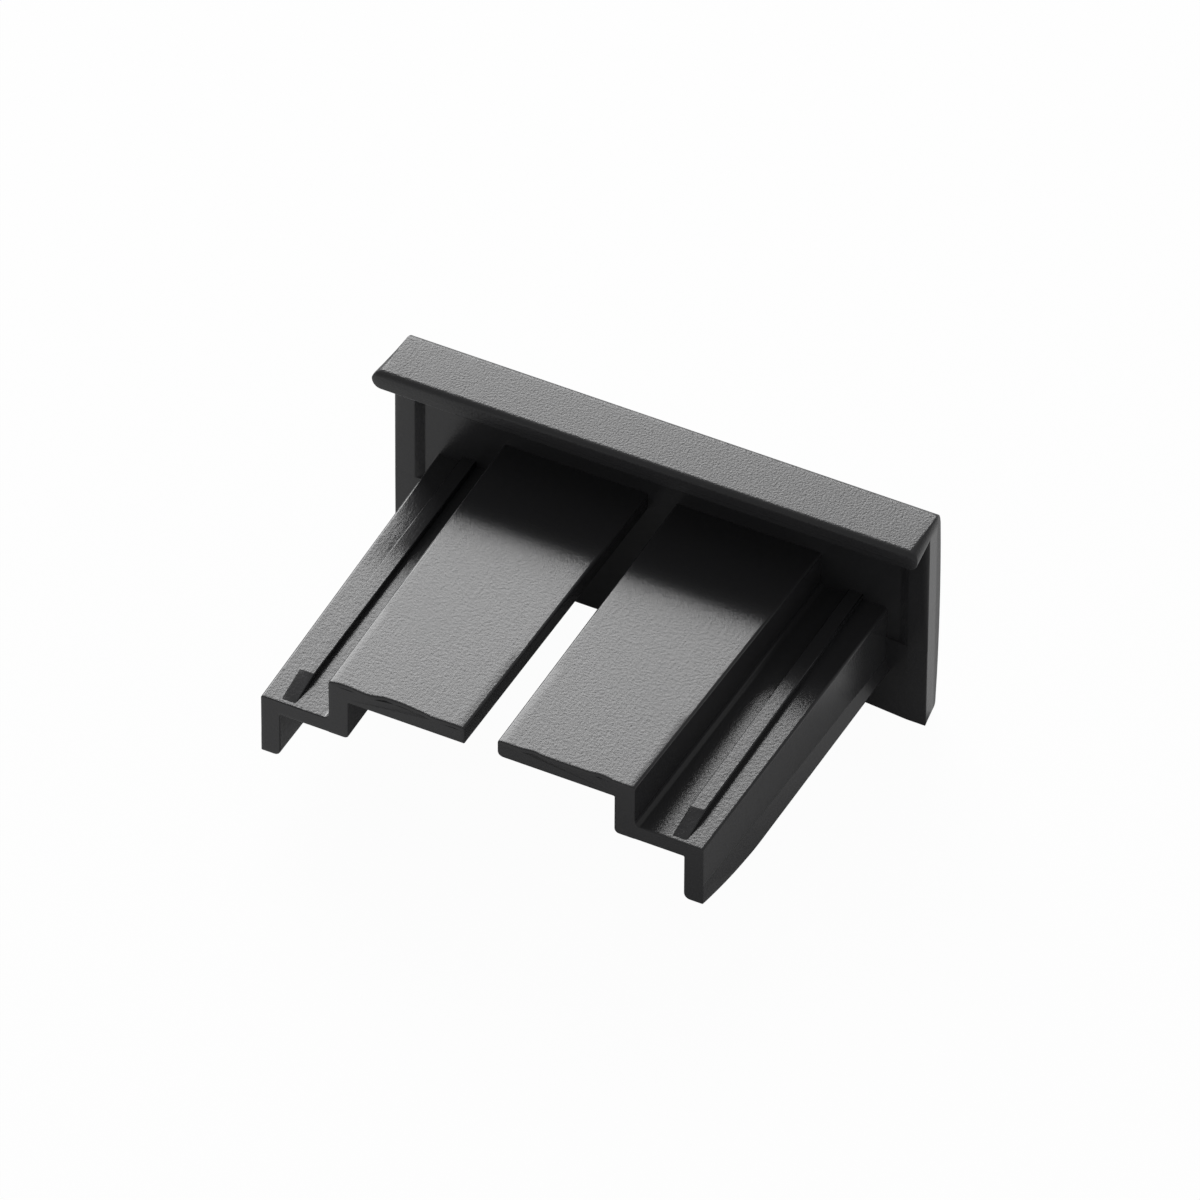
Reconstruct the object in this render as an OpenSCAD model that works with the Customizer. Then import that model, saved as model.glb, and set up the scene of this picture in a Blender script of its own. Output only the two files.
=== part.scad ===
// End cap for a flat tube, moulded in one piece.
// X runs along the cap, Y points out of the tube, Z points up.
// The origin is level with the plate's bottom edge, under the middle of the whole cap.

/* [Plate] */
// Length of the plate at its end bands
plate_w = 40; // [36:0.5:50]
// Height of the cap, from the plate's bottom edge to the top of the lip
plate_h = 17.5; // [16.8:0.1:20]
// Thickness of the plate between its end bands
plate_t = 2.1; // [1.8:0.1:4]
// Lean of the two ends, which narrows the cap towards its outer face
end_lean = 6.5; // [0:0.5:10]
// Radius of the upright edges at the ends of the outer face
side_r = 0.1; // [0.05:0.05:0.6]
// Radius of the outer face's top edge
brow_r = 0.7; // [0.3:0.1:1.2]
// Radius of the outer face's bottom edge
heel_r = 0.5; // [0.2:0.1:0.8]
// Radius of the outer face itself, which is slightly crowned from top to bottom
crown_r = 100; // [90:5:200]
// Height at which the outer face stands out most
crown_z = 10; // [7:0.1:11]
// Radius of the bottom corners
foot_r = 0.5; // [0.2:0.1:0.9]
// Width of the raised band at each end of the tube-side face
band_w = 1.5; // [0.8:0.1:2]
// Length of the slope beside each band
band_slope = 0.7; // [0.2:0.1:1]
// Height below which that slope is long and gentle
band_z = 6.6; // [5:0.1:8]
// Length of the gentle slope
gentle_slope = 3.6; // [2:0.1:4]
// Height of the bands above the rest of the face
band_h = 0.3; // [0.1:0.05:0.6]

/* [Lip] */
// Reach of the lip over the tube, measured from the plate
lip_reach = 2.95; // [1.5:0.05:4]
// Thickness of the lip, whose ends are fully round
lip_t = 1.45; // [1:0.05:2]
// Length that each end of the lip adds to the plate
lip_over = 0.05; // [0:0.05:0.5]
// Radius of the lip's upper front edge
lip_front_r = 0.45; // [0.1:0.05:0.6]

/* [Legs] */
// Length of the legs, measured from the plate
leg_l = 26.3; // [18:0.1:40]
// Gap between the two tongues at their tips
slot_w = 2.44; // [1:0.1:5]
// Spread of each tongue's inner edge towards its tip
slot_angle = 0.38; // [0:0.02:1]
// Height of the tongues' upper face
tongue_z = 12; // [11.1:0.1:12.7]
// Thickness of the tongues
tongue_t = 1.36; // [1:0.02:1.8]
// Radius of the tongues' lower inner edges
tongue_r = 0.4; // [0.1:0.05:0.45]
// Radius of the tongues' upper inner edges
tongue_top_r = 0.2; // [0.05:0.05:0.45]
// Distance from the middle of the cap to a riser's outer face, at the tip
riser_x = 11.35; // [9.5:0.05:12]
// Thickness of the risers
riser_t = 1.5; // [1:0.05:1.8]
// Splay of the risers' outer faces towards the plate
riser_angle = 1.2; // [0:0.1:1.6]
// Fillet where a riser meets the low shelf
riser_fillet = 0.4; // [0.1:0.05:0.6]
// Radius of a riser's lower inner corner
riser_foot_r = 0.36; // [0.1:0.02:0.6]
// Height of the low shelf's upper face at the tip
shelf_z = 8.62; // [8.1:0.02:9.1]
// Thickness of the low shelf at the tip
shelf_t = 1.18; // [0.9:0.02:1.5]
// Rise of the low shelf's upper face towards the plate
shelf_angle = 1.1; // [0:0.05:1.4]

/* [Flanges] */
// Distance from the middle of the cap to a flange's outer face, at the tip
flange_x = 16.42; // [15.8:0.02:17]
// Thickness of the flanges at the tip
flange_t = 1.42; // [1:0.02:1.6]
// Height of the flanges' lower edge
flange_z = 3.75; // [2.3:0.05:5.3]
// Splay of the flanges' outer faces towards the plate
flange_angle = 1; // [0:0.1:1.4]
// Radius of the flanges' lower inner edge
flange_r = 0.45; // [0.1:0.05:0.6]
// Radius of the legs' upper outer edge
leg_edge_r = 0.2; // [0.05:0.05:0.4]

/* [Snap ridges] */
// Distance from the middle of the cap to a ridge's outer edge
ridge_x = 17.06; // [16.9:0.02:17.6]
// Splay of the ridges towards the plate
ridge_angle = 0.35; // [0:0.05:0.6]
// Height of a ridge on the flange at the tip
ridge_h = 1.6; // [1:0.1:2.2]
// Fall of the ridge's upper edge towards the plate
ridge_fall = 1.4; // [0:0.1:2]
// Sideways reach of the ridge's slope at the flange's lower edge
ridge_reach = 0.6; // [0.5:0.02:0.9]
// Length of the curved lead-in at the tip
lead_in = 7.5; // [4:0.5:12]

/* [Ribs] */
// Distance from the middle of the cap to a rib's outer side
rib_x = 15.05; // [14.8:0.05:15.3]
// Width of the ribs
rib_w = 1.1; // [0.6:0.05:1.4]
// Height of the ribs above the low shelf
rib_h = 0.5; // [0.2:0.05:0.8]
// Distance from the leg's tip to the foot of the rib's ramp
rib_start = 0.35; // [0.1:0.05:3]
// Length of the ramp
rib_ramp = 2.6; // [1:0.1:5]

/* [Hidden] */
$fn = 64;
// Margin by which a cutting shape passes the surface that it cuts
over = 1;
// Overlap by which two stretches of one outline join
seam = 0.01;
// Depth to which the legs run into the plate
root = 1;
lip_z = plate_h - lip_t;
half_w = plate_w / 2;
leg_run = leg_l + root;
// Sideways drop of the ridge's outer edge over the lead-in, and the arc's radius
lead_drop = ridge_x - flange_x;
lead_r = (lead_in * lead_in + lead_drop * lead_drop) / (2 * lead_drop);

// Sweeps a flat shape drawn in X and Z along +Y
module along_y(length) {
    rotate([90, 0, 0]) mirror([0, 0, 1]) linear_extrude(length) children();
}

// Sweeps a flat shape drawn in Y and Z along X, centred
module along_x(length) {
    rotate([90, 0, 90]) linear_extrude(length, center = true) children();
}

// The sliver outside a rounded corner at p, whose two sides run along turn and turn + 90
module corner_waste(p, turn, r) {
    translate(p) rotate(turn) difference() {
        translate([-over / 4, -over / 4]) square(r + over / 4);
        translate([r, r]) circle(r);
    }
}

// The part and its twin on the other side of the middle plane
module both_sides() {
    children();
    mirror([1, 0, 0]) children();
}

// Distance in Y to the centre of an edge rounding that meets the crowned face without a crease
function round_y(z, r) = plate_t - crown_r + sqrt(pow(crown_r - r, 2) - pow(z - crown_z, 2));

// Height at which such a rounding meets the crowned face
function join_z(z, r) = crown_z + (z - crown_z) * crown_r / (crown_r - r);

// One rounded edge of the plate's section, with the plate's stock behind it
module section_edge(z, r) {
    translate([round_y(z, r), z]) circle(r);
    translate([-band_h, z - r]) square([round_y(z, r) + band_h, 2 * r]);
}

// Section of the plate in Y and Z: a crowned outer face between two rounded edges
module plate_section() {
    head = plate_h - brow_r;
    low = join_z(heel_r, heel_r);
    intersection() {
        translate([-band_h, low]) square([plate_t + band_h + over, join_z(head, brow_r) - low]);
        translate([plate_t - crown_r, crown_z]) circle(crown_r, $fn = 360);
    }
    section_edge(heel_r, heel_r);
    section_edge(head, brow_r);
}

// Section of the lip in Y and Z
module lip_section() {
    difference() {
        translate([-lip_reach, lip_z]) square([lip_reach + round_y(plate_h - brow_r, brow_r), lip_t]);
        corner_waste([-lip_reach, plate_h], 270, lip_front_r);
    }
}

// Outline of one end in X and Z: the plate's corners are round
module plate_end() {
    difference() {
        translate([-2 * over, 0]) square([half_w + 2 * over, plate_h]);
        corner_waste([half_w, 0], 90, foot_r);
        corner_waste([half_w, plate_h], 180, lip_t / 2);
    }
}

// Outline of one end of the lip in X and Z: a full round
module lip_end() {
    tip = half_w + lip_over;
    translate([-2 * over, lip_z]) square([tip - lip_t / 2 + 2 * over, lip_t]);
    translate([tip - lip_t / 2, lip_z + lip_t / 2]) circle(lip_t / 2);
}

// Both halves of the plate or lip, each swept along its leaning end and left long in Y
module leaning_halves() {
    both_sides() translate([half_w, -band_h, 0]) rotate([0, 0, end_lean])
        translate([-half_w, -half_w / 2, 0]) along_y(half_w) children();
}

// The plate, with a raised band at each end of its tube-side face
module plate() {
    difference() {
        intersection() {
            along_x(2 * plate_w) plate_section();
            leaning_halves() plate_end();
            linear_extrude(2 * plate_h) outer_plan();
        }
        translate([0, 0, -over]) linear_extrude(band_z + over) recess_plan(gentle_slope);
        translate([0, 0, band_z - seam]) linear_extrude(lip_z - band_z + seam) recess_plan(band_slope);
    }
}

// Plan of the plate, with its two outer upright edges rounded
module outer_plan() {
    corner = half_w - (plate_t + band_h) * tan(end_lean);
    difference() {
        translate([-plate_w, -2 * lip_reach]) square([2 * plate_w, 2 * lip_reach + plate_t]);
        for (side = [0, 1]) mirror([side, 0]) translate([corner, plate_t]) rotate(end_lean) {
            corner_waste([0, 0], 180, side_r);
            translate([0, -over]) square([over, 2 * over]);
        }
    }
}

// Plan of what is cut away between the bands, which slope down to the rest of the face
module recess_plan(slope) {
    edge = half_w - band_w;
    foot = edge - slope;
    front = -band_h - over;
    polygon([[-edge, front], [edge, front], [edge, -band_h], [foot, 0], [-foot, 0], [-edge, -band_h]]);
}

// The lip along the top, which reaches over the tube
module lip() {
    intersection() {
        along_x(2 * plate_w) lip_section();
        leaning_halves() lip_end();
        linear_extrude(2 * plate_h) outer_plan();
    }
}

// Places a wall's section at the tip and sweeps it to the plate: the pivot is a point [x, z]
// of the section that stays in line, toe turns the wall in plan and rise lifts it
module swept_wall(pivot, toe = 0, rise = 0) {
    translate([pivot[0], -leg_l, pivot[1]]) rotate([rise, 0, -toe])
        translate([-pivot[0], -over, -pivot[1]]) along_y(leg_run + over) children();
}

// Section of a tongue, drawn from the slot to the riser
module tongue_section() {
    low = tongue_z - tongue_t;
    difference() {
        translate([slot_w / 2, low]) square([riser_x - slot_w / 2 - riser_t / 2, tongue_t]);
        corner_waste([slot_w / 2, low], 0, tongue_r);
        corner_waste([slot_w / 2, tongue_z], 270, tongue_top_r);
    }
}

// Section of a riser, from the underside of the low shelf to the top of the tongue
module riser_section() {
    low = shelf_z - shelf_t;
    difference() {
        translate([riser_x - riser_t, low]) square([riser_t, tongue_z - low]);
        corner_waste([riser_x, tongue_z], 180, leg_edge_r);
        corner_waste([riser_x - riser_t, low], 0, riser_foot_r);
    }
}

// Section of the low shelf with the flange that hangs from its outer edge, left long below
module channel_section() {
    inner = flange_x - flange_t;
    difference() {
        union() {
            translate([riser_x - riser_t / 2, shelf_z - shelf_t])
                square([flange_x - riser_x + riser_t / 2, shelf_t]);
            translate([inner, 0]) square([flange_t, shelf_z]);
            translate([riser_x - over / 4, shelf_z - shelf_t / 2])
                square([riser_fillet + over / 4, riser_fillet + shelf_t / 2]);
        }
        corner_waste([flange_x, shelf_z], 180, leg_edge_r);
        translate([riser_x + riser_fillet, shelf_z + riser_fillet]) circle(riser_fillet);
    }
}

// Section that trims the flange below: its inner lower edge is round
module flange_trim() {
    inner = flange_x - flange_t;
    difference() {
        translate([0, flange_z]) square([plate_w, plate_h]);
        corner_waste([inner, flange_z], 0, flange_r);
        translate([inner - 2 * over, flange_z - over / 2]) square([2 * over, over / 2 + flange_r]);
    }
}

// Plan of a snap ridge: an arc leads in from the flange's tip and a straight run follows
module ridge_plan() {
    start = -leg_l + lead_in;
    run = -start + root;
    inner = flange_x - flange_t / 2;
    intersection() {
        translate([inner, -leg_l - over]) square([ridge_x - inner, lead_in + over + seam]);
        translate([ridge_x - lead_r, start]) circle(lead_r, $fn = 720);
    }
    polygon([[inner, start], [ridge_x, start], [ridge_x + run * tan(ridge_angle), root], [inner, root]]);
}

// Wedge section of a snap ridge, which stands out most at the flange's lower edge
module ridge_wedge() {
    inner = flange_x - flange_t / 2;
    slope = ridge_h / ridge_reach;
    top = flange_z + ridge_h + slope * flange_t / 2;
    low = flange_z - over;
    polygon([[inner, low], [flange_x + ridge_reach + over / slope, low], [inner, top]]);
}

// The ridge that clicks into the tube, low on the flange's outer face, which it follows
module snap_ridge() {
    intersection() {
        translate([0, 0, flange_z]) linear_extrude(ridge_h + over) ridge_plan();
        swept_wall([flange_x, flange_z + ridge_h], flange_angle, -ridge_fall) ridge_wedge();
    }
}

// The rib on the low shelf, with a ramp at its front
module shelf_rib() {
    front = rib_start;
    back = leg_run + over;
    translate([rib_x - rib_w / 2, -leg_l, shelf_z]) rotate([shelf_angle, 0, 0]) along_x(rib_w)
        polygon([[front, -shelf_t / 2], [front, 0], [front + rib_ramp, rib_h],
                 [back, rib_h], [back, -shelf_t / 2]]);
}

// One leg: a high tongue, a riser, a low shelf with its rib, and a flange with its ridge
module leg() {
    intersection() {
        translate([0, -leg_l, 0]) cube([plate_w, leg_run, plate_h]);
        union() {
            swept_wall([slot_w / 2, tongue_z], -slot_angle) tongue_section();
            swept_wall([riser_x, tongue_z], riser_angle) riser_section();
            intersection() {
                swept_wall([flange_x, shelf_z], flange_angle, shelf_angle) channel_section();
                translate([0, -leg_l - over, 0]) along_y(leg_run + 2 * over) flange_trim();
            }
            shelf_rib();
            snap_ridge();
        }
    }
}

// The whole cap is one moulding. Its parts are drawn from the tube-side face, then centred
module end_cap() {
    color([0.2, 0.2, 0.21]) translate([0, (leg_l - plate_t) / 2, 0]) union() {
        plate();
        lip();
        both_sides() leg();
    }
}

end_cap();
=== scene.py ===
"""A moulded tube end cap on a white studio floor."""

import math

import bmesh
import bpy
import numpy as np
from mathutils import Matrix, Vector


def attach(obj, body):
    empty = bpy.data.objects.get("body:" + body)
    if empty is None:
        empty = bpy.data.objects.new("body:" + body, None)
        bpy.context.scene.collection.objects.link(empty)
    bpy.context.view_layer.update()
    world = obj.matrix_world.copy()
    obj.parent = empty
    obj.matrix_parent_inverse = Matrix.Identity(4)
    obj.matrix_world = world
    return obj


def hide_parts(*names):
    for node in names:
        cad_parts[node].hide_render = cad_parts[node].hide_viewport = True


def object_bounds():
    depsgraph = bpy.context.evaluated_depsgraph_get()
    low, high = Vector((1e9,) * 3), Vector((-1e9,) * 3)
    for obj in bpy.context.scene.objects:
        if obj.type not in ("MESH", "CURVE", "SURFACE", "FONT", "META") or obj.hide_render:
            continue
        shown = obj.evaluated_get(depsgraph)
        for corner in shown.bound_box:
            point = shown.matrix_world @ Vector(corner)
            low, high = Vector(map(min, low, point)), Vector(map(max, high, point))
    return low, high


bl_info = {
    "name": "Tube end cap",
    "version": (1, 0, 0),
    "blender": (4, 5, 0),
    "location": "3D View > Sidebar > End cap",
    "description": "Finishes a moulded end cap and sets up its studio",
    "category": "Object",
}

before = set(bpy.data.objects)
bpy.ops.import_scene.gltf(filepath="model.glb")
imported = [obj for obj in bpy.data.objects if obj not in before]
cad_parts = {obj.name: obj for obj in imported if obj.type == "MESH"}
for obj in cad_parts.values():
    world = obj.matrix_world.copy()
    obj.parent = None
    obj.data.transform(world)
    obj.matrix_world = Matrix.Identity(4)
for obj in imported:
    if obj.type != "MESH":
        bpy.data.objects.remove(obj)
CAD_BOX = [list(corner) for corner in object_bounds()]
NODE = "end_cap"

# Sizes of the moulding are in millimetres and degrees. Heights are above the plate's bottom edge, which stands
# on the floor. Y is 0 on the plate's tube-side face until the mesh is finished, and the legs' tips are LEG in
# front of it. APART keeps neighbouring corners of a section from falling on one point, and no corner is rounded
# by less than LEAST_RADIUS. An arc has ARC_STEPS points and takes up at most ARC_SHARE of a side.
MM = 0.001
APART = 0.02
LEAST_RADIUS = 0.01
ARC_STEPS = 6
ARC_SHARE = 0.45

# Plate and lip. The end bands stand BAND proud of the face between them, from BAND_EDGE outwards. The ramp to
# that face ends at RAMP_FOOT, or at GENTLE_FOOT below GENTLE_TOP, and its creases are eased by CREASE_EASE.
PLATE = 2.1
PLATE_HALF = 20.0
PLATE_TOP = 17.5
BAND = 0.3
BAND_EDGE = 18.5
RAMP_FOOT = 17.8
GENTLE_FOOT = 14.9
GENTLE_TOP = 6.6
CREASE_EASE = 0.05
CROWN = 100.0
CROWN_Z = 10.0
BROW = 0.7
HEEL = 0.5
LIP = 1.45
LIP_REACH = 2.95
LIP_FRONT = 0.45

# The plate's ends lean by END_LEAN and the lip stands LIP_OVER past them. SIDE, LIP_END and HEEL_END round the
# ends at the outer face, at the lip's top and underside, and at the plate's bottom edge, in END_STEPS sections.
END_LEAN = 6.5
LIP_OVER = 0.05
SIDE = 0.1
LIP_END = LIP / 2 - 0.005
HEEL_END = 0.5
END_STEPS = 9

# Places along X where the plate's section is set up, and heights of the points on its outer face.
PLATE_STATIONS = (19.2, 18.9, 18.56, 18.5, 18.44, 18.2, 17.86, 17.8, 17.74, 17.2, 16.2,
                  14.96, 14.9, 14.84, 12.0, 8.0, 4.0)
CROWN_STATIONS = np.linspace(PLATE_TOP - 0.1, 0.1, 14)[2:-2]

# Legs, at the tip. A name that ends in X is a distance from the middle plane, in Z a height, in ANGLE the draft
# of the same face towards the plate, and in EDGE or FILLET a corner's radius. TONGUE, RISER, SHELF and FLANGE
# are walls. The slot narrows and the crease falls towards the plate, and the other faces spread or rise. The
# legs run on into the plate by ROOT. The arc of the flange's low edge has its centre at FLANGE_LOW_EDGE_X, is
# divided by FADING_PARTS and never fades to less than the sine LEAST_FADE.
LEG = 26.3
ROOT = 1.0
SLOT_X = 1.22
SLOT_ANGLE = 0.38
TONGUE = 1.36
TONGUE_Z = 12.0
TONGUE_EDGE = 0.2
TONGUE_LOW_EDGE = 0.4
RISER = 1.5
RISER_X = 11.35
RISER_ANGLE = 1.2
RISER_FILLET = 0.4
RISER_FOOT_Z = 7.44
RISER_FOOT_EDGE = 0.36
SHELF = 1.18
SHELF_Z = 8.62
SHELF_ANGLE = 1.1
FLANGE = 1.42
FLANGE_X = 16.42
FLANGE_ANGLE = 1.0
FLANGE_Z = 3.75
FLANGE_TOP_EDGE = 0.2
FLANGE_LOW_EDGE = 0.45
FLANGE_LOW_EDGE_X = 15.45
FADING_PARTS = (0.0, 0.25, 0.5, 0.75, 1.0)
LEAST_FADE = 0.04
CREASE_Z = 5.35
CREASE_ANGLE = 1.4
CREASE_FILLET = 0.3

# The snap ridge stands out of the flange under a slope that is RIDGE_H high where the ridge is RIDGE_REACH
# deep, and its outer face is at least RIDGE_LEAST high. It curves in by LEAD_DEPTH over LEAD_IN from the tip.
RIDGE_X = 17.06
RIDGE_ANGLE = 0.35
RIDGE_H = 1.6
RIDGE_REACH = 0.6
RIDGE_LEAST = 0.03
LEAD_IN = 7.5
LEAD_DEPTH = 0.64

# Distances from the tip at which the leg's section is set up. The tip is rounded in TIP_STEPS sections, and its
# flat face has a ring TIP_RING inside its edge.
LEG_STATIONS = np.concatenate([
    [0.2, 0.5, 0.8, 1.2], np.linspace(1.6, LEAD_IN, 20), np.linspace(LEAD_IN + 1.0, LEG + ROOT, 20)])
TIP_STEPS = 5
TIP_RING = 0.3

# Ribs on the shelves: they start at RIB_START from the tip and reach their height after RIB_RAMP.
RIB_INNER = 13.95
RIB_OUTER = 15.05
RIB_H = 0.5
RIB_ROOT = 0.3
RIB_START = 0.35
RIB_RAMP = 2.6
RIB_SUNK = 0.02
RIB_ARC_STEPS = 5
RIB_STATIONS = np.array([0.3, RIB_START, 1.2, 2.1, 2.9, 2.95, 3.0, 4.0, 10.0, 18.0, LEG + ROOT / 2])

# The tongues' upper front edges recede unevenly, down to RECEDING_LOW above the tongue's underside and out to
# RECEDING_T from the tip. Each edge is its places along X and how far it recedes there, both listed. The
# tongue's top is divided from the first to the second of TOP_STATIONS in steps of the third.
LEFT_EDGE = ((1.6, 3.7, 4.4, 6.1, 7.4, 8.1, 8.8, 9.8, 10.7, 11.1),
             (0.06, 0.0, 0.14, 0.30, 0.28, 0.02, 0.0, 0.12, 0.10, 0.0))
RIGHT_EDGE = ((1.6, 3.1, 3.6, 4.1, 4.6, 8.1, 8.6, 9.2, 9.8, 11.1),
              (0.0, 0.0, 0.14, 0.10, 0.0, 0.03, 0.16, 0.12, 0.0, 0.0))
RECEDING_LOW = 0.15
RECEDING_T = 1.2
TOP_STATIONS = (2.0, 10.9, 0.35)

# The grain ends about GRAIN_REACH below the lip's top, fading over TOP_CHANGE, and about GRAIN_REACH inside the
# outer face, fading over OUTER_CHANGE. The fine lines are 1 / LINE_STRETCH times as long as they are wide.
GRAIN_REACH = 0.9
TOP_CHANGE = 0.6
OUTER_CHANGE = 0.4
LINE_STRETCH = 0.03


class CapFinish(bpy.types.PropertyGroup):
    """Edge rounding and colours of the moulding's finish."""

    edge_round: bpy.props.FloatProperty(
        name="Edge rounding", description="Width of the rounding on the moulding's sharp edges",
        default=0.00008, min=0.00002, max=0.00015, precision=5, unit="LENGTH")
    body_colour: bpy.props.FloatVectorProperty(
        name="Plastic", description="Colour of the plastic", subtype="COLOR", size=3,
        default=(0.035, 0.035, 0.037), min=0.0, max=1.0)
    smooth_roughness: bpy.props.FloatProperty(
        name="Smooth roughness", description="Roughness of the faces on the tube's side",
        default=0.24, min=0.05, max=1.0)
    grain_roughness: bpy.props.FloatProperty(
        name="Grained roughness", description="Roughness of the lip's grained top and of the outer face",
        default=0.36, min=0.05, max=1.0)
    grain_size: bpy.props.FloatProperty(
        name="Grain size", description="Distance from one grain to the next",
        default=0.00017, min=0.00005, max=0.001, precision=5, unit="LENGTH")
    grain_depth: bpy.props.FloatProperty(
        name="Grain depth", description="Depth of the grain",
        default=0.00003, min=0.0, max=0.0001, precision=6, unit="LENGTH")
    mottle_size: bpy.props.FloatProperty(
        name="Mottle size", description="Size of the even mottle on the smooth faces",
        default=0.00024, min=0.00005, max=0.001, precision=5, unit="LENGTH")
    mottle_depth: bpy.props.FloatProperty(
        name="Mottle depth", description="Depth of the mottle",
        default=0.000014, min=0.0, max=0.0001, precision=7, unit="LENGTH")
    line_size: bpy.props.FloatProperty(
        name="Tool line pitch", description="Distance between the fine lines along the legs",
        default=0.00018, min=0.00005, max=0.001, precision=5, unit="LENGTH")
    line_depth: bpy.props.FloatProperty(
        name="Tool line depth", description="Depth of the fine lines along the legs",
        default=0.000005, min=0.0, max=0.0001, precision=7, unit="LENGTH")


class CapStage(bpy.types.PropertyGroup):
    """Where the camera stands and how the studio is lit."""

    azimuth: bpy.props.FloatProperty(
        name="Azimuth", description="Camera's turn about the upright axis",
        default=math.radians(26.873), subtype="ANGLE")
    elevation: bpy.props.FloatProperty(
        name="Elevation", description="Camera's height above the horizon",
        default=math.radians(42.005), subtype="ANGLE")
    roll: bpy.props.FloatProperty(
        name="Roll", description="Camera's turn about its own axis",
        default=math.radians(0.321), subtype="ANGLE")
    distance: bpy.props.FloatProperty(
        name="Distance", description="Camera's distance from the point it looks at",
        default=1.1316, min=0.1, unit="LENGTH")
    aim: bpy.props.FloatVectorProperty(
        name="Aim", description="The point that the camera looks at", subtype="TRANSLATION", size=3,
        default=(-0.000586, 0.004181, 0.008962), unit="LENGTH")
    lens: bpy.props.FloatProperty(
        name="Lens", description="Focal length in millimetres", default=510.0, min=20.0)
    floor_size: bpy.props.FloatProperty(
        name="Floor", description="Side of the square floor", default=4.0, min=0.2, unit="LENGTH")
    floor_colour: bpy.props.FloatVectorProperty(
        name="Floor colour", description="Colour of the floor", subtype="COLOR", size=3,
        default=(0.9, 0.9, 0.9), min=0.0, max=1.0)
    seen_white: bpy.props.FloatProperty(
        name="Seen white", description="Share of even white in the floor as the camera sees it",
        default=0.97, min=0.0, max=1.0)
    mirrored_white: bpy.props.FloatProperty(
        name="Mirrored white", description="Share of even white in the floor as glossy faces mirror it",
        default=0.03, min=0.0, max=1.0)
    light_azimuth: bpy.props.FloatProperty(
        name="Light azimuth", description="Turn of the soft light about the upright axis, behind the cap",
        default=math.radians(36.0), subtype="ANGLE")
    light_elevation: bpy.props.FloatProperty(
        name="Light elevation", description="Height of the soft light above the horizon",
        default=math.radians(29.0), subtype="ANGLE")
    light_distance: bpy.props.FloatProperty(
        name="Light distance", description="Distance of the soft light from the aim",
        default=0.6, min=0.1, unit="LENGTH")
    light_size: bpy.props.FloatProperty(
        name="Light size", description="Side of the square soft light",
        default=0.36, min=0.05, unit="LENGTH")
    light_power: bpy.props.FloatProperty(
        name="Light power", description="Power of the soft light", default=3.15, min=0.0, unit="POWER")
    sky: bpy.props.FloatProperty(
        name="Sky", description="Strength of the light from all round", default=0.28, min=0.0)


class Number:
    """A shader number: an expression on it adds its Math nodes."""

    def __init__(self, paint, socket):
        self.paint = paint
        self.socket = socket

    def _join(self, operation, first, second):
        values = {i: v for i, v in enumerate((first, second)) if v is not None}
        return Number(self.paint, self.paint.node("Math", {"operation": operation}, values).outputs[0])

    def __add__(self, other):
        return self._join("ADD", self, other)

    def __sub__(self, other):
        return self._join("SUBTRACT", self, other)

    def __rsub__(self, other):
        return self._join("SUBTRACT", other, self)

    def __mul__(self, other):
        return self._join("MULTIPLY", self, other)

    __radd__ = __add__
    __rmul__ = __mul__

    def above(self, level, width):
        """0 below the level and 1 above it, with a smooth change over this width around the level."""
        settings = {"interpolation_type": "SMOOTHSTEP", "clamp": True}
        values = {0: self, 1: level - width / 2, 2: level + width / 2}
        return Number(self.paint, self.paint.node("MapRange", settings, values).outputs[0])


class Paint:
    """The nodes of one material."""

    def __init__(self, name):
        self.material = bpy.data.materials.new(name)
        self.material.use_nodes = True
        self.tree = self.material.node_tree
        self.tree.nodes.clear()
        self.output = self.tree.nodes.new("ShaderNodeOutputMaterial")

    def node(self, kind, settings=None, values=None):
        """A node of this kind: its settings come first, then its sockets' values or links."""
        made = self.tree.nodes.new("ShaderNode" + kind)
        for key, value in (settings or {}).items():
            setattr(made, key, value)
        for key, value in (values or {}).items():
            if isinstance(value, Number):
                value = value.socket
            if isinstance(value, bpy.types.NodeSocket):
                self.tree.links.new(value, made.inputs[key])
            else:
                made.inputs[key].default_value = value
        return made

    def noise(self, place, size, detail):
        """Noise from 0 to 1 whose largest features are about this size."""
        values = {"Vector": place, "Scale": 1 / size, "Detail": detail, "Roughness": 0.6}
        return Number(self, self.node("TexNoise", values=values).outputs[0])

    def finish(self, shader):
        """The material, with this shader on its surface."""
        self.tree.links.new(shader.outputs[0], self.output.inputs["Surface"])
        return self.material


def moulded_plastic(finish):
    """Black plastic: grained on the lip's top and the outer face, finely mottled and lined elsewhere."""
    paint = Paint("moulded plastic")
    place = paint.node("TexCoord").outputs["Object"]
    parts = paint.node("SeparateXYZ", values={0: place})
    y = Number(paint, parts.outputs["Y"])
    z = Number(paint, parts.outputs["Z"])
    top = z.above(CAD_BOX[1][2] - GRAIN_REACH * MM, TOP_CHANGE * MM)
    outside = y.above(CAD_BOX[1][1] - GRAIN_REACH * MM, OUTER_CHANGE * MM)
    grained = top + outside - top * outside
    grain = paint.noise(place, finish.grain_size, 2.0)
    along = paint.node("Mapping", values={"Vector": place, "Scale": (1.0, LINE_STRETCH, 1.0)})
    lines = paint.noise(along.outputs[0], finish.line_size, 3.0)
    mottle = paint.noise(place, finish.mottle_size, 3.0)
    smooth = mottle * finish.mottle_depth + lines * finish.line_depth
    height = grain * grained * finish.grain_depth + smooth * (1 - grained)
    bump = paint.node("Bump", values={"Strength": 1.0, "Distance": 1.0, "Height": height})
    roughness = grained * (finish.grain_roughness - finish.smooth_roughness) + finish.smooth_roughness
    return paint.finish(paint.node("BsdfPrincipled", values={
        "Base Color": (*finish.body_colour, 1.0), "Roughness": roughness, "Normal": bump.outputs[0]}))


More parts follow.
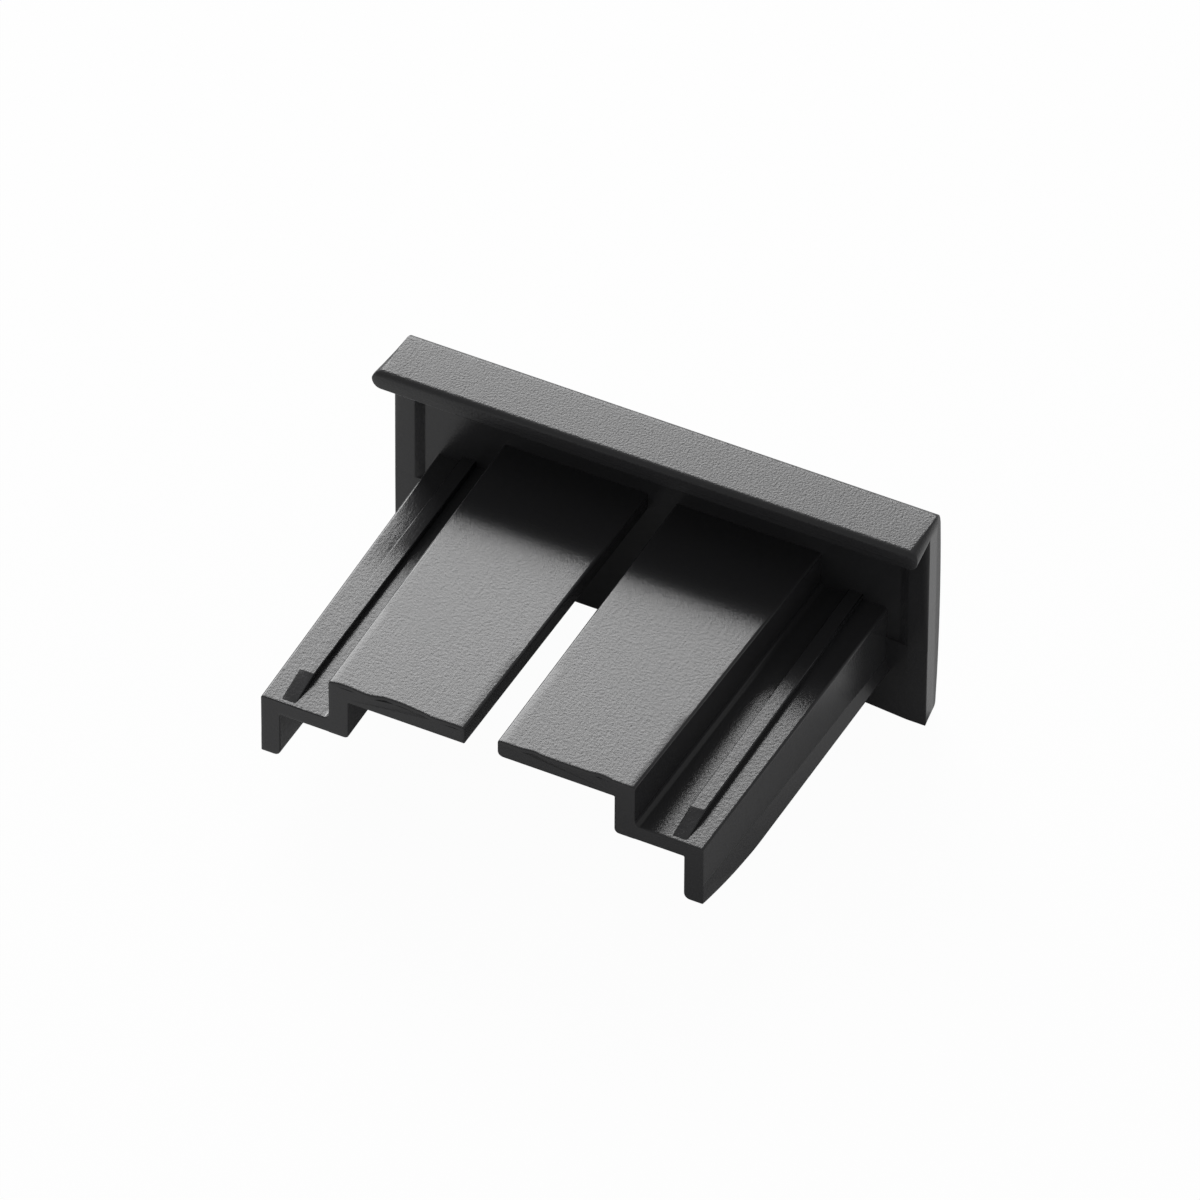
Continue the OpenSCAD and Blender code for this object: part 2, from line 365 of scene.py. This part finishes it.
def floor_white(stage):
    """A white floor: as seen or mirrored it is partly an even white, and the rest takes light and shadow."""
    paint = Paint("floor white")
    rays = paint.node("LightPath")
    glossy = Number(paint, rays.outputs["Is Glossy Ray"])
    mirrored = glossy + Number(paint, rays.outputs["Is Transmission Ray"])
    lit = paint.node("BsdfDiffuse", values={"Color": (*stage.floor_colour, 1.0)})
    even = paint.node("Emission", values={"Color": (1.0, 1.0, 1.0, 1.0), "Strength": 1.0})
    share = Number(paint, rays.outputs["Is Camera Ray"]) * stage.seen_white + mirrored * stage.mirrored_white
    return paint.finish(paint.node("MixShader", values={0: share, 1: lit.outputs[0], 2: even.outputs[0]}))


def rounded(corners, radii, steps):
    """Outlines with every corner turned into an arc of so many points.

    corners is (rows, corners, 2) and radii (rows, corners). At a corner with unit vectors u and v towards its
    neighbours, the arc's ends lie the radius over the tangent of half the angle between u and v away from the
    corner, but at most ARC_SHARE of the shorter side. The centre lies the radius over the sine of that half
    angle from the corner, midway between u and v, and the arc's points turn evenly about it.
    """
    u = np.roll(corners, 1, axis=1) - corners
    v = np.roll(corners, -1, axis=1) - corners
    u_length = np.linalg.norm(u, axis=2)
    v_length = np.linalg.norm(v, axis=2)
    u = u / u_length[..., None]
    v = v / v_length[..., None]
    half = np.arccos(np.clip((u * v).sum(axis=2), -0.99999, 0.99999)) / 2
    reach = np.minimum(radii / np.tan(half), ARC_SHARE * np.minimum(u_length, v_length))
    r = reach * np.tan(half)
    middle = (u + v) / np.linalg.norm(u + v, axis=2)[..., None]
    centre = corners + middle * (r / np.sin(half))[..., None]
    start = (corners + u * reach[..., None] - centre) / r[..., None]
    end = (corners + v * reach[..., None] - centre) / r[..., None]
    turn = np.pi - 2 * half
    share = np.linspace(0, 1, steps)[None, None, :]
    a = (np.sin((1 - share) * turn[..., None]) / np.sin(turn)[..., None])[..., None]
    b = (np.sin(share * turn[..., None]) / np.sin(turn)[..., None])[..., None]
    points = centre[:, :, None, :] + r[..., None, None] * (a * start[:, :, None, :] + b * end[:, :, None, :])
    return points.reshape(len(corners), -1, 2)


def inset(corners, depths):
    """Outlines whose edges have moved inwards.

    depths is (rows, corners), the depth of the edge that leaves each corner. A corner moves by the vector whose
    length along the inward normal of each of its two edges is that edge's depth. The outlines run clockwise. A
    corner that is nearly straight is treated as one that bends by a thousandth.
    """
    edge = np.roll(corners, -1, axis=1) - corners
    edge = edge / np.linalg.norm(edge, axis=2)[..., None]
    out_normal = np.stack([edge[..., 1], -edge[..., 0]], axis=2)
    in_normal = np.roll(out_normal, 1, axis=1)
    in_depth = np.roll(depths, 1, axis=1)
    cross = in_normal[..., 0] * out_normal[..., 1] - in_normal[..., 1] * out_normal[..., 0]
    cross = np.where(np.abs(cross) < 1e-3, 1e-3, cross)
    x = (in_depth * out_normal[..., 1] - depths * in_normal[..., 1]) / cross
    y = (depths * in_normal[..., 0] - in_depth * out_normal[..., 0]) / cross
    return corners + np.stack([x, y], axis=2)


def skin(rings):
    """Faces of a closed tube over a grid of rings, (rows, points, 3), with one flat face over each end."""
    rows, points = rings.shape[:2]
    index = np.arange(rows * points).reshape(rows, points)
    ahead = np.roll(index, -1, axis=1)
    quads = np.stack([index[:-1], index[1:], ahead[1:], ahead[:-1]], axis=-1).reshape(-1, 4)
    return rings.reshape(-1, 3), quads.tolist() + [index[0].tolist(), index[-1][::-1].tolist()]


def drafted(start, angle, t):
    """A position on a drafted face: the start plus t times the tangent of the angle in degrees."""
    return start + t * math.tan(math.radians(angle))


def sections(*pairs):
    """Corners (rows, corners, 2) from each corner's two columns. A bare number counts for all rows."""
    rows = max(np.size(value) for pair in pairs for value in pair)
    columns = [[np.broadcast_to(value, rows) for value in pair] for pair in pairs]
    return np.stack([np.stack(pair, axis=1) for pair in columns], axis=1)


def leg_rings(outline, t, side):
    """Outlines in X and Z, each set up at t behind the tip and on this side of the middle plane."""
    y = np.repeat((t - LEG)[:, None], outline.shape[1], axis=1)
    return np.stack([outline[..., 0] * side, y, outline[..., 1]], axis=2)


class CAP_OT_moulding(bpy.types.Operator):
    """Make the moulding: its plate with the lip, its two legs and their ribs"""

    bl_idname = "cap.moulding"
    bl_label = "Moulding"

    def execute(self, context):
        finish = context.scene.cap_finish
        edge = finish.edge_round / MM
        shells = [self.plate(edge)]
        for side in (-1.0, 1.0):
            shells += [self.leg(edge, side), self.rib(edge, side)]
        mesh = self.joined(shells)
        mesh.materials.append(moulded_plastic(finish))
        piece = bpy.data.objects.new("moulding", mesh)
        context.scene.collection.objects.link(piece)
        shading = piece.modifiers.new("flat faces stay flat", "WEIGHTED_NORMAL")
        shading.weight = 100
        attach(piece, "root")
        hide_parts(NODE)
        return {"FINISHED"}

    def joined(self, shells):
        """One mesh in metres: Y moves so that the whole cap is centred on the frame's origin.

        Points that fall together within a ten-thousandth of a millimetre are merged.
        """
        points, faces, first = [], [], 0
        for verts, polygons in shells:
            points.append(verts)
            faces += [[first + corner for corner in polygon] for polygon in polygons]
            first += len(verts)
        points = np.concatenate(points)
        points[:, 1] += (LEG - PLATE) / 2
        mesh = bpy.data.meshes.new("moulding")
        mesh.from_pydata((points * MM).tolist(), [], faces)
        work = bmesh.new()
        work.from_mesh(mesh)
        bmesh.ops.remove_doubles(work, verts=work.verts, dist=1e-7)
        bmesh.ops.recalc_face_normals(work, faces=work.faces)
        if any(not rim.is_manifold for rim in work.edges):
            raise RuntimeError("the moulding isn't closed")
        work.to_mesh(mesh)
        work.free()
        mesh.polygons.foreach_set("use_smooth", np.ones(len(mesh.polygons), dtype=bool))
        return mesh

    def leg(self, edge, side):
        """One leg: its section in X and Z is carried along t, the distance from the tip.

        Every corner of the section moves in a straight line with t, apart from the snap ridge, which follows an
        arc over the lead-in, and the flange's lower inner edge, an arc that the wall cuts off. At the tip the
        section starts inset by the edge rounding and reaches its full size along a quarter circle. The radius
        of an inner corner grows by the inset, and that of an outer corner falls by it.
        """
        quarter = np.linspace(0, np.pi / 2, TIP_STEPS)
        t = np.concatenate([[0.0], edge * (1 - np.cos(quarter)), LEG_STATIONS])
        depth = np.concatenate([[TIP_RING], edge * (1 - np.sin(quarter)), np.zeros(len(LEG_STATIONS))])
        slot = drafted(SLOT_X, -SLOT_ANGLE, t)
        riser = drafted(RISER_X, RISER_ANGLE, t)
        shelf = drafted(SHELF_Z, SHELF_ANGLE, t)
        flange = drafted(FLANGE_X, FLANGE_ANGLE, t)
        crease = drafted(CREASE_Z, -CREASE_ANGLE, t)
        ridge = np.maximum(self.ridge(t), flange + APART / 10)
        fall = (ridge - flange) * RIDGE_H / RIDGE_REACH
        rim = np.clip(crease - fall, FLANGE_Z + RIDGE_LEAST, crease - APART)
        under = shelf - SHELF + APART
        corners = sections(
            (slot, TONGUE_Z), (riser, TONGUE_Z), (riser, shelf), (flange, shelf),
            (flange, crease), (ridge, rim), (ridge, FLANGE_Z), *self.fading_edge(flange - FLANGE),
            (flange - FLANGE, under), (riser, under), (riser, RISER_FOOT_Z), (riser - RISER, RISER_FOOT_Z),
            (riser - RISER, TONGUE_Z - TONGUE), (slot, TONGUE_Z - TONGUE))
        low_edge = edge if side < 0 else TONGUE_LOW_EDGE
        radii = np.array([
            TONGUE_EDGE, TONGUE_EDGE, RISER_FILLET, FLANGE_TOP_EDGE, CREASE_FILLET, edge, edge,
            *[APART] * len(FADING_PARTS), edge, edge, edge, RISER_FOOT_EDGE, edge, low_edge])
        hollow = np.array([0, 0, 1, 0, 1, 0, 0, *[0] * len(FADING_PARTS), 1, 1, 0, 0, 1, 0], dtype=bool)
        depths = np.repeat(depth[:, None], corners.shape[1], axis=1)
        radii = np.where(hollow, radii + depths, np.maximum(radii - depths, LEAST_RADIUS))
        outline = self.split_top(rounded(inset(corners, depths), radii, ARC_STEPS))
        rings = leg_rings(outline, t, side)
        rings[..., 1] += self.receding(outline, t, side)
        return skin(rings)

    def ridge(self, t):
        """X of the snap ridge: an arc that is LEAD_DEPTH deep over the lead-in, and a straight draft after it.

        The arc's radius is the sum of the squares of its length and depth over twice the depth.
        """
        arc = (LEAD_IN ** 2 + LEAD_DEPTH ** 2) / (2 * LEAD_DEPTH)
        lead = RIDGE_X - arc + np.sqrt(arc ** 2 - np.clip(LEAD_IN - t, 0, None) ** 2)
        return drafted(lead, RIDGE_ANGLE, np.clip(t - LEAD_IN, 0, None))

    def fading_edge(self, wall):
        """The flange's lower inner edge: points on an arc, from its lowest point to where it meets the wall.

        The centre stands FLANGE_LOW_EDGE, the radius, above the flange's bottom. The points turn in even parts
        from straight below the centre to the angle whose sine is the wall's distance over the radius.
        """
        radius = FLANGE_LOW_EDGE
        last = np.arcsin(np.clip((FLANGE_LOW_EDGE_X - wall) / radius, LEAST_FADE, 1.0))
        turns = [last * part for part in FADING_PARTS]
        return [(FLANGE_LOW_EDGE_X - radius * np.sin(turn), FLANGE_Z + radius * (1 - np.cos(turn)))
                for turn in turns]

    def split_top(self, outline):
        """More points along the tongue's top, on the straight line between its two corners' arcs."""
        start = outline[:, ARC_STEPS - 1:ARC_STEPS]
        end = outline[:, ARC_STEPS:ARC_STEPS + 1]
        stations = np.arange(*TOP_STATIONS)[None, :]
        share = (stations - start[..., 0]) / (end[..., 0] - start[..., 0])
        between = start + share[..., None] * (end - start)
        return np.concatenate([outline[:, :ARC_STEPS], between, outline[:, ARC_STEPS:]], axis=1)

    def receding(self, outline, t, side):
        """How far a tongue's upper front edge recedes in Y.

        The amount at a point's X is multiplied by a share that falls evenly from 1 just below the tongue's top
        to 0 near its underside, and by one that falls evenly from 1 at the tip to 0 at RECEDING_T.
        """
        where, amounts = LEFT_EDGE if side < 0 else RIGHT_EDGE
        amount = np.interp(outline[..., 0], where, amounts, left=0.0, right=0.0)
        above = outline[..., 1] - (TONGUE_Z - TONGUE) - RECEDING_LOW
        height = np.clip(above / (TONGUE - TONGUE_EDGE - RECEDING_LOW), 0, 1)
        return amount * height * np.clip(1 - t / RECEDING_T, 0, 1)[:, None]

    def rib(self, edge, side):
        """A rib on the shelf: a four-cornered section whose top rises evenly over the ramp.

        It starts just inside the shelf, by RIB_SUNK of its height.
        """
        t = RIB_STATIONS
        shelf = drafted(SHELF_Z, SHELF_ANGLE, t)
        top = shelf + RIB_H * np.clip((t - RIB_START) / RIB_RAMP, -RIB_SUNK, 1)
        low = shelf - RIB_ROOT
        corners = sections((RIB_INNER, top), (RIB_OUTER, top), (RIB_OUTER, low), (RIB_INNER, low))
        outline = rounded(corners, np.full(corners.shape[:2], edge), RIB_ARC_STEPS)
        return skin(leg_rings(outline, t, side))

    def plate(self, edge):
        """The plate with its lip: the section in Y and Z is carried along X.

        The tube-side face stands at Y = -BAND on the bands and falls evenly to 0 over the ramp, which is longer
        and gentler below GENTLE_TOP. Towards each end an angle goes from a right angle to 0. Every face of the
        section moves inwards by its gap times 1 minus the angle's sine, and stands short of the end by the gap
        times 1 minus its cosine, which rounds the end along quarter circles. The lip's front moves inwards by
        the edge rounding alone, but stands short of the end like the lip's top and underside. A corner's radius
        falls by half of what its face moves inwards.
        """
        quarter = np.linspace(0, np.pi / 2, END_STEPS)
        inner = np.array(PLATE_STATIONS)
        ends = np.full(END_STEPS, PLATE_HALF)
        x = np.concatenate([ends, inner, [0.0], -inner[::-1], -ends])
        turn = np.concatenate([quarter, np.full(len(inner) * 2 + 1, np.pi / 2), quarter[::-1]])[:, None]
        away = np.abs(x)
        high = self.face(away, RAMP_FOOT)
        low = np.minimum(self.face(away, GENTLE_FOOT), high - APART / 5)
        crown = list(zip(self.crown(CROWN_STATIONS), CROWN_STATIONS))
        corners = sections(
            (-LIP_REACH, PLATE_TOP), (self.crown(PLATE_TOP), PLATE_TOP), *crown, (self.crown(0.0), 0.0),
            (low, 0.0), (low, GENTLE_TOP), (high, GENTLE_TOP + APART), (high, PLATE_TOP - LIP),
            (-LIP_REACH, PLATE_TOP - LIP))
        radii = np.array([
            LIP_FRONT, BROW, *[LEAST_RADIUS] * len(crown), HEEL, edge, edge / 2, edge / 2, edge, edge])
        gaps = np.array([LIP_END, SIDE, *[SIDE] * len(crown), HEEL_END, edge, edge, edge, LIP_END, edge])
        depths = gaps * (1 - np.sin(turn))
        outline = rounded(inset(corners, depths), np.maximum(radii - depths * 0.5, LEAST_RADIUS), ARC_STEPS)
        gaps[-1] = LIP_END
        reach = np.repeat(gaps, ARC_STEPS) * (1 - np.cos(turn))
        end = PLATE_HALF - (outline[..., 0] + BAND) * math.tan(math.radians(END_LEAN))
        end[:, :ARC_STEPS] += LIP_OVER
        end[:, -ARC_STEPS:] += LIP_OVER
        away = np.where(away[:, None] == PLATE_HALF, end - reach, away[:, None])
        rings = np.stack([np.where(x < 0, -1, 1)[:, None] * away, outline[..., 0], outline[..., 1]], axis=2)
        return skin(rings)

    def crown(self, z):
        """Y of the outer face at a height: an arc of radius CROWN that stands out most at CROWN_Z."""
        return PLATE - CROWN + np.sqrt(CROWN ** 2 - (z - CROWN_Z) ** 2)

    def face(self, away, foot):
        """Y of the tube-side face this far from the middle: a ramp from the foot to the band's edge.

        It is minus the rise that starts at the foot plus the one that starts at the band's edge. A rise is the
        slope times half the sum of the distance past its start and the root of that distance squared plus
        CREASE_EASE squared.
        """
        slope = BAND / (BAND_EDGE - foot)

        def rise(start):
            return slope * (np.sqrt((away - start) ** 2 + CREASE_EASE ** 2) + away - start) / 2

        return -(rise(foot) - rise(BAND_EDGE))


class CAP_OT_studio(bpy.types.Operator):
    """Set up the floor, the soft light and the camera"""

    bl_idname = "cap.studio"
    bl_label = "Studio"

    def execute(self, context):
        scene = context.scene
        stage = scene.cap_stage
        scene.view_settings.view_transform = "Standard"
        self.floor(scene, stage)
        self.lights(scene, stage)
        self.camera(scene, stage)
        return {"FINISHED"}

    def floor(self, scene, stage):
        """A flat square under the cap."""
        half = stage.floor_size / 2
        mesh = bpy.data.meshes.new("floor")
        corners = [(-half, -half, 0), (half, -half, 0), (half, half, 0), (-half, half, 0)]
        mesh.from_pydata(corners, [], [(0, 1, 2, 3)])
        mesh.materials.append(floor_white(stage))
        floor = bpy.data.objects.new("floor", mesh)
        scene.collection.objects.link(floor)

    def lights(self, scene, stage):
        """A soft light low behind the cap, which the tongues' upper faces mirror, and an even sky."""
        aim = Vector(stage.aim)
        a, e = stage.light_azimuth, stage.light_elevation
        towards = Vector((-math.sin(a) * math.cos(e), math.cos(a) * math.cos(e), math.sin(e)))
        lamp = bpy.data.lights.new("soft light", "AREA")
        lamp.shape = "SQUARE"
        lamp.size = stage.light_size
        lamp.energy = stage.light_power
        light = bpy.data.objects.new("soft light", lamp)
        light.location = aim + towards * stage.light_distance
        light.rotation_mode = "QUATERNION"
        light.rotation_quaternion = towards.to_track_quat("Z", "Y")
        light.visible_camera = False
        scene.collection.objects.link(light)
        world = bpy.data.worlds.new("studio")
        scene.world = world
        world.use_nodes = True
        nodes, links = world.node_tree.nodes, world.node_tree.links
        nodes.clear()
        rays = nodes.new("ShaderNodeLightPath")
        mirrored = nodes.new("ShaderNodeMath")
        links.new(rays.outputs["Is Glossy Ray"], mirrored.inputs[0])
        links.new(rays.outputs["Is Transmission Ray"], mirrored.inputs[1])
        seen = nodes.new("ShaderNodeMath")
        seen.operation = "MULTIPLY_ADD"
        links.new(mirrored.outputs[0], seen.inputs[0])
        seen.inputs[1].default_value = stage.mirrored_white
        links.new(rays.outputs["Is Camera Ray"], seen.inputs[2])
        sky = nodes.new("ShaderNodeBackground")
        sky.inputs["Color"].default_value = (1.0, 1.0, 1.0, 1.0)
        sky.inputs["Strength"].default_value = stage.sky
        white = nodes.new("ShaderNodeBackground")
        white.inputs["Color"].default_value = (1.0, 1.0, 1.0, 1.0)
        mix = nodes.new("ShaderNodeMixShader")
        out = nodes.new("ShaderNodeOutputWorld")
        links.new(seen.outputs[0], mix.inputs[0])
        links.new(sky.outputs[0], mix.inputs[1])
        links.new(white.outputs[0], mix.inputs[2])
        links.new(mix.outputs[0], out.inputs["Surface"])

    def camera(self, scene, stage):
        """Right, up and back come from azimuth, elevation and roll. The camera stands back from the aim."""
        a, e, r = stage.azimuth, stage.elevation, stage.roll
        right = Vector((math.cos(a), math.sin(a), 0.0))
        back = Vector((math.sin(a) * math.cos(e), -math.cos(a) * math.cos(e), math.sin(e)))
        up = back.cross(right)
        rolled_right = right * math.cos(r) + up * math.sin(r)
        rolled_up = up * math.cos(r) - right * math.sin(r)
        data = bpy.data.cameras.new("camera")
        data.lens = stage.lens
        data.sensor_width = 36.0
        data.clip_start, data.clip_end = 0.01, 100.0
        camera = bpy.data.objects.new("camera", data)
        turn = Matrix((rolled_right, rolled_up, back)).transposed().to_4x4()
        camera.matrix_world = Matrix.Translation(Vector(stage.aim) + back * stage.distance) @ turn
        scene.collection.objects.link(camera)
        scene.camera = camera


class CAP_PT_panel(bpy.types.Panel):
    """The end cap's steps and settings"""

    bl_idname = "CAP_PT_panel"
    bl_label = "End cap"
    bl_space_type = "VIEW_3D"
    bl_region_type = "UI"
    bl_category = "End cap"

    def draw(self, context):
        layout = self.layout
        for group in (context.scene.cap_finish, context.scene.cap_stage):
            box = layout.box()
            for name in group.__annotations__:
                box.prop(group, name)
        layout.operator(CAP_OT_moulding.bl_idname)
        layout.operator(CAP_OT_studio.bl_idname)


CLASSES = (CapFinish, CapStage, CAP_OT_moulding, CAP_OT_studio, CAP_PT_panel)


def register():
    for cls in CLASSES:
        bpy.utils.register_class(cls)
    bpy.types.Scene.cap_finish = bpy.props.PointerProperty(type=CapFinish)
    bpy.types.Scene.cap_stage = bpy.props.PointerProperty(type=CapStage)


def unregister():
    del bpy.types.Scene.cap_stage
    del bpy.types.Scene.cap_finish
    for cls in reversed(CLASSES):
        bpy.utils.unregister_class(cls)


def main():
    register()
    bpy.ops.cap.moulding()
    bpy.ops.cap.studio()


if __name__ == "__main__":
    main()
